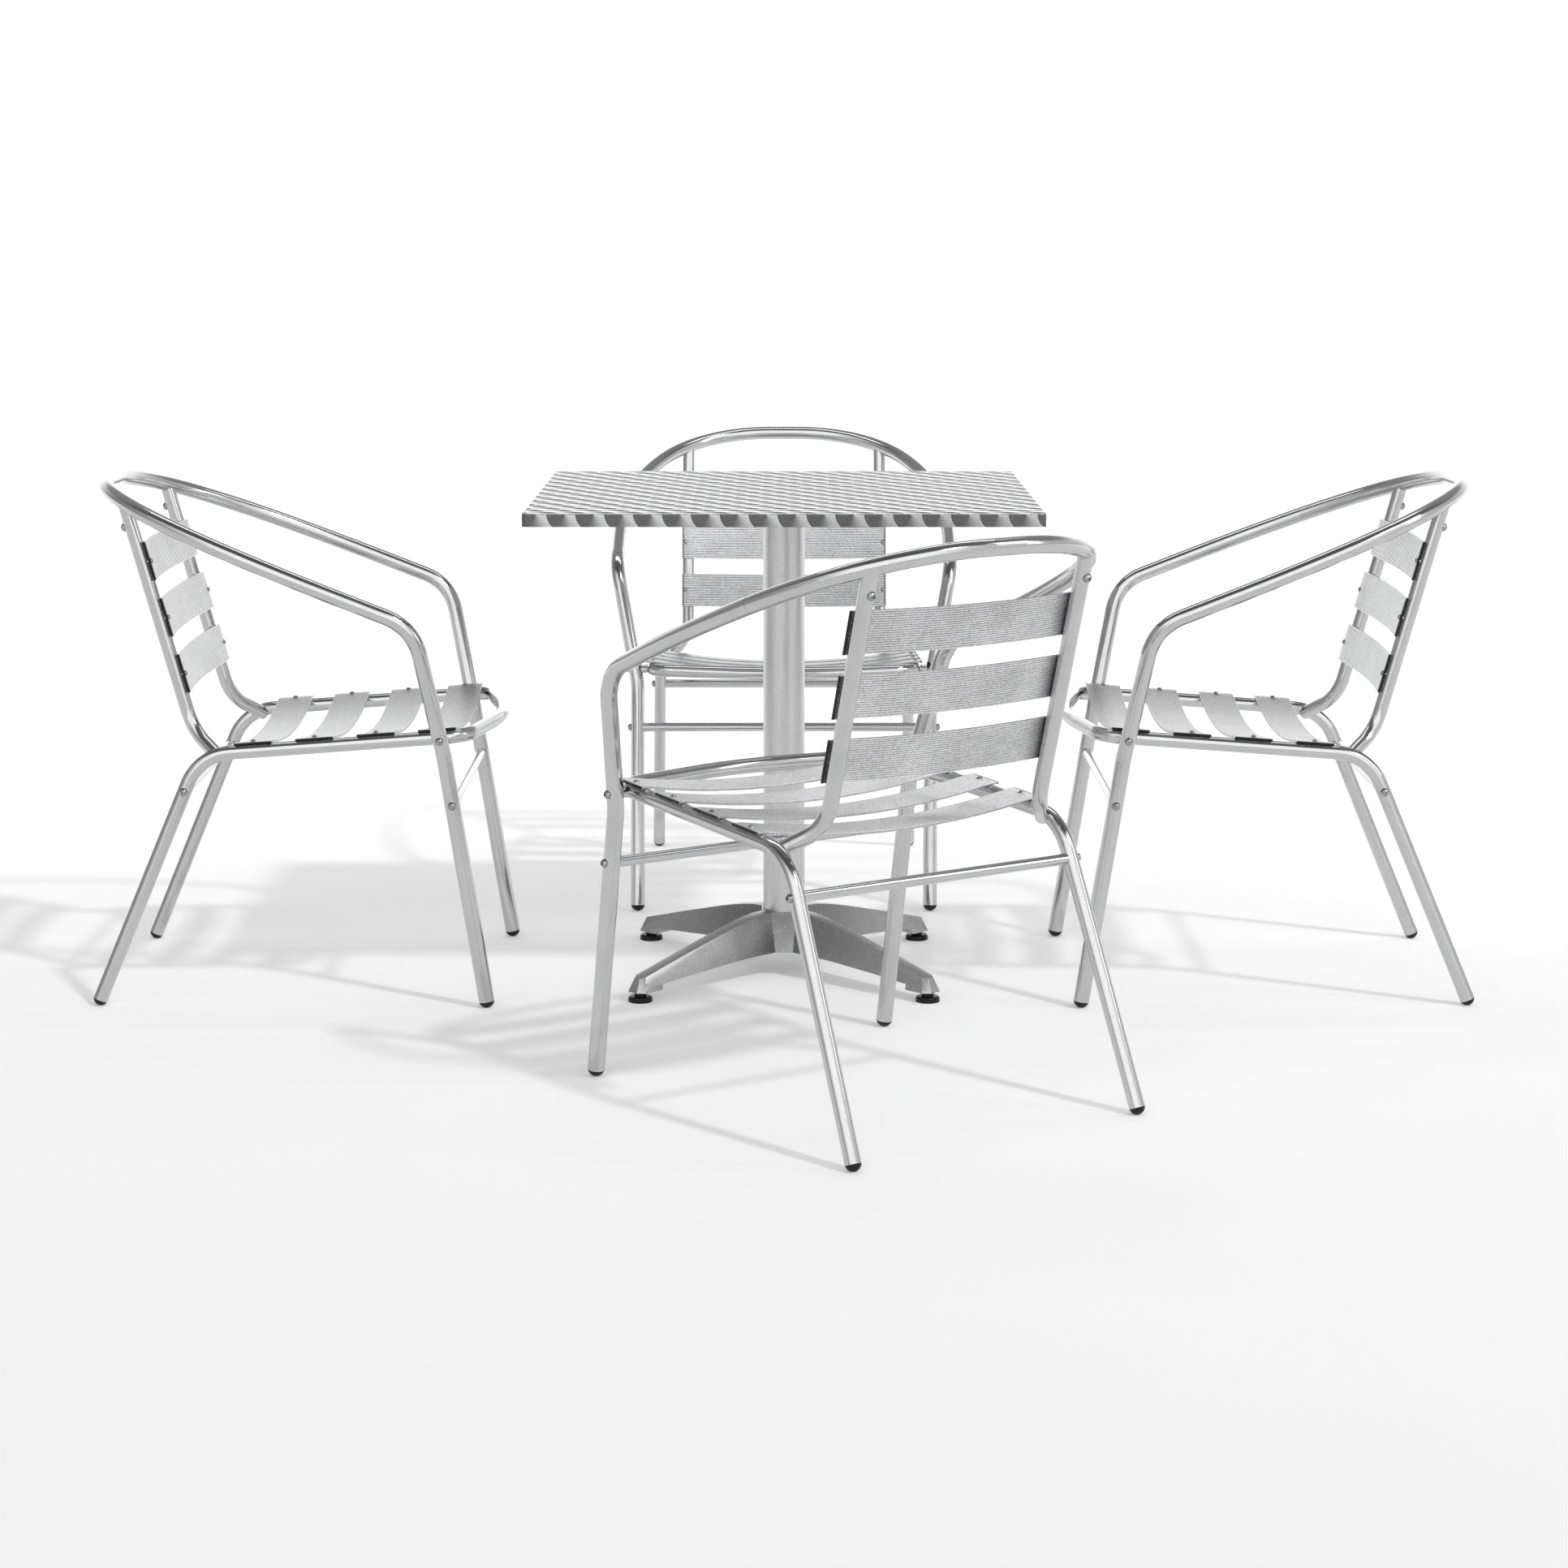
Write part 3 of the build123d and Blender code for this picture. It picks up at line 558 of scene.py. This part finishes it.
def slat_line(half_length, sag):
    """Stations from end to end: place along, height over the tubes' axes and slope angle."""
    half_span = half_length - SLAT_OVERHANG
    hug = TUBE_RADIUS + SLAT_FIT + SLAT_THICKNESS / 2
    reach = (half_span**2 + sag**2) / (2 * sag)
    sag_centre = reach - sag
    turn = np.arctan2(half_span, sag_centre)
    # The second station ends the painted shadow strip at the cut end.
    right = [(half_length, hug, 0.0), (half_length - CUT_EDGE, hug, 0.0)]
    for angle in np.linspace(0.0, turn, HUG_STEPS + 1):
        right.append((half_span - hug * sin(angle), hug * cos(angle), angle))
    for angle in np.linspace(turn, 0.0, SAG_STEPS // 2 + 1)[1:]:
        right.append((
            (reach - hug) * sin(angle), sag_centre - (reach - hug) * cos(angle), angle,
        ))
    left = [(-u, w, -angle) for u, w, angle in reversed(right[:-1])]
    return right + left, hug


def rib_section(width):
    """Across a slat: place and half thickness at each groove, rib shoulder and crest."""
    count = round(width / RIB_PITCH)
    pitch = width / count
    crest = SLAT_THICKNESS / 2
    shoulder = crest - RIB_DEPTH * SHOULDER_DROP
    groove = crest - RIB_DEPTH
    section = []
    for rib in range(count):
        start = -width / 2 + rib * pitch
        section.append((start, groove))
        section.append((start + RIB_SHOULDER * pitch, shoulder))
        section.append((start + 0.5 * pitch, crest))
        section.append((start + (1 - RIB_SHOULDER) * pitch, shoulder))
    section.append((width / 2, groove))
    return section


def ribbed_slat(points, verts, faces, painted_shades):
    """Adds one slat with fine lengthwise ribs on both faces, ring by ring along it."""
    centre, axes, extents = slat_frame(points)
    sag = extents[2] - SLAT_THICKNESS
    line, hug = slat_line(extents[0] / 2, sag)
    section = rib_section(extents[1])
    drop = hug + SLAT_THICKNESS / 2 - extents[2] / 2
    start = len(verts)
    ring = 2 * len(section)
    loop = section + [(v, -h) for v, h in reversed(section)]
    half_deep = SLAT_THICKNESS / 2 - RIB_DEPTH / 2
    # Painted shade: groove points get a darkness of 1, and the rings at the cut ends get
    # CUT_SHADE as a painted shadow.
    shade = [1.0 if abs(h) < half_deep else 0.0 for _, h in loop]
    for place, (u, w, angle) in enumerate(line):
        cut = place in (0, len(line) - 1)
        for (v, h), dark in zip(loop, shade):
            along = u - h * sin(angle)
            up = w - drop + h * cos(angle)
            verts.append(centre + along * axes[0] + v * axes[1] + up * axes[2])
            painted_shades.append(CUT_SHADE if cut else dark)
    for station in range(len(line) - 1):
        a = start + station * ring
        for k in range(ring):
            n = (k + 1) % ring
            faces.append((a + k, a + n, a + ring + n, a + ring + k))
    for end, flip in ((start, True), (start + (len(line) - 1) * ring, False)):
        for k in range(len(section) - 1):
            cap = (end + k, end + k + 1, end + ring - 2 - k, end + ring - 1 - k)
            faces.append(cap[::-1] if flip else cap)


def slats_of(chair, kind):
    """All seat or back slats of a chair as one ribbed piece."""
    node = f"{chair}_{kind}_slats"
    verts, faces, painted_shades = [], [], []
    for points in solids_of(node):
        ribbed_slat(points, verts, faces, painted_shades)
    mesh = bpy.data.meshes.new(f"{node}_ribbed")
    mesh.from_pydata([tuple(v) for v in verts], [], faces)
    mesh.attributes.new(PAINTED_SHADE_ATTRIBUTE, "FLOAT", "POINT").data.foreach_set("value", painted_shades)
    tidy_mesh(mesh)
    add_piece(f"{node}_ribbed", mesh, chair, "slat_aluminium", node)


def tidy_mesh(mesh, sharp=CREASE):
    """Faces point outwards and shade smoothly, except across sharp edges."""
    work = bmesh.new()
    work.from_mesh(mesh)
    bmesh.ops.recalc_face_normals(work, faces=work.faces)
    for face in work.faces:
        face.smooth = True
    for edge in work.edges:
        edge.smooth = edge.calc_face_angle(0.0) < radians(sharp)
    work.to_mesh(mesh)
    work.free()
    mesh.update()


def eased_casting(node):
    """The CAD casting with its sharp edges rounded over."""
    mesh = frame["nodes"][node].data.copy()
    work = bmesh.new()
    work.from_mesh(mesh)
    bmesh.ops.remove_doubles(work, verts=work.verts, dist=CASTING_WELD)
    bmesh.ops.dissolve_limit(
        work, angle_limit=radians(CASTING_FLAT), verts=work.verts, edges=work.edges
    )
    work.to_mesh(mesh)
    work.free()
    holder = bpy.data.objects.new(f"{node}_source", mesh)
    bpy.context.scene.collection.objects.link(holder)
    bevel = holder.modifiers.new("ease", "BEVEL")
    bevel.width = CASTING_EASE
    bevel.segments = CASTING_SEGMENTS
    bevel.limit_method = "ANGLE"
    bevel.angle_limit = radians(CASTING_SHARP)
    bevel.miter_outer = "MITER_ARC"
    graph = bpy.context.evaluated_depsgraph_get()
    result = bpy.data.meshes.new_from_object(holder.evaluated_get(graph))
    bpy.data.objects.remove(holder)
    tidy_mesh(result, CASTING_CREASE)
    return result


# ---- pieces ----------------------------------------------------------------------
SLOT_OF = {part["node"]: part["material_slot"] for part in frame["record"]["subparts"]}
for node_name, node_object in frame["nodes"].items():
    node_object.data.materials.clear()
    node_object.data.materials.append(MATERIALS[SLOT_OF[node_name]])

for chair_name in CHAIRS:
    for slat_kind in ("seat", "back"):
        slats_of(chair_name, slat_kind)

add_piece(
    "base_casting_eased", eased_casting("base_casting"), "table", "cast_aluminium",
    "base_casting",
)


# ---- studio ----------------------------------------------------------------------
def add_floor():
    mesh = bpy.data.meshes.new("studio_floor")
    quarters = ((-1, -1), (1, -1), (1, 1), (-1, 1))
    corners = [(x * FLOOR_HALF, y * FLOOR_HALF, 0.0) for x, y in quarters]
    mesh.from_pydata(corners, [], [(0, 1, 2, 3)])
    mesh.materials.append(studio_floor())
    floor = bpy.data.objects.new("studio_floor", mesh)
    bpy.context.scene.collection.objects.link(floor)


def add_world():
    """A bright wall in front and behind, darker at both sides, under a grey ceiling."""
    world = bpy.data.worlds.new("studio")
    world.use_nodes = True
    bpy.context.scene.world = world
    tree = world.node_tree
    background = tree.nodes["Background"]
    way = Field(tree, tree.nodes.new("ShaderNodeTexCoord").outputs["Generated"])
    x, y, z = way.parts()
    wall = y.ramp(*WALL_BRIGHTNESS) - x.ramp(*LEFT_FLAG) - x.ramp(*RIGHT_FLAG)
    ceiling = y.ramp(*CEILING_BRIGHTNESS)
    wall_top = y.ramp(*WALL_TOP)
    above_wall = z.ramp(wall_top, wall_top + WALL_FADE)
    feed(tree, background.inputs["Strength"], choose(above_wall, ceiling, wall))
    background.inputs["Color"].default_value = (1.0, 1.0, 1.0, 1.0)


def add_area(name, place, size, power):
    light = bpy.data.lights.new(name, "AREA")
    light.shape = "RECTANGLE"
    light.size, light.size_y = size
    light.energy = power
    holder = bpy.data.objects.new(name, light)
    bpy.context.scene.collection.objects.link(holder)
    holder.location = place
    towards = Vector(LIGHT_TARGET) - Vector(place)
    holder.rotation_euler = towards.to_track_quat("-Z", "Y").to_euler()
    holder.visible_camera = False


def add_lights():
    sun = bpy.data.lights.new("key", "SUN")
    sun.energy = SUN_STRENGTH
    sun.angle = radians(SUN_SIZE)
    holder = bpy.data.objects.new("key", sun)
    bpy.context.scene.collection.objects.link(holder)
    holder.rotation_euler = Vector(SUN_TOWARDS).to_track_quat("Z", "Y").to_euler()
    for name, settings in AREA_LIGHTS.items():
        add_area(name, *settings)


def add_camera():
    lens = bpy.data.cameras.new("camera")
    lens.lens = CAMERA_LENS
    lens.clip_end = CAMERA_CLIP_END
    camera = bpy.data.objects.new("camera", lens)
    bpy.context.scene.collection.objects.link(camera)
    camera.location = CAMERA_AT
    camera.rotation_euler = (radians(CAMERA_PITCH), 0.0, 0.0)
    bpy.context.scene.camera = camera


add_floor()
add_world()
add_lights()
add_camera()
bpy.context.scene.view_settings.view_transform = "Standard"
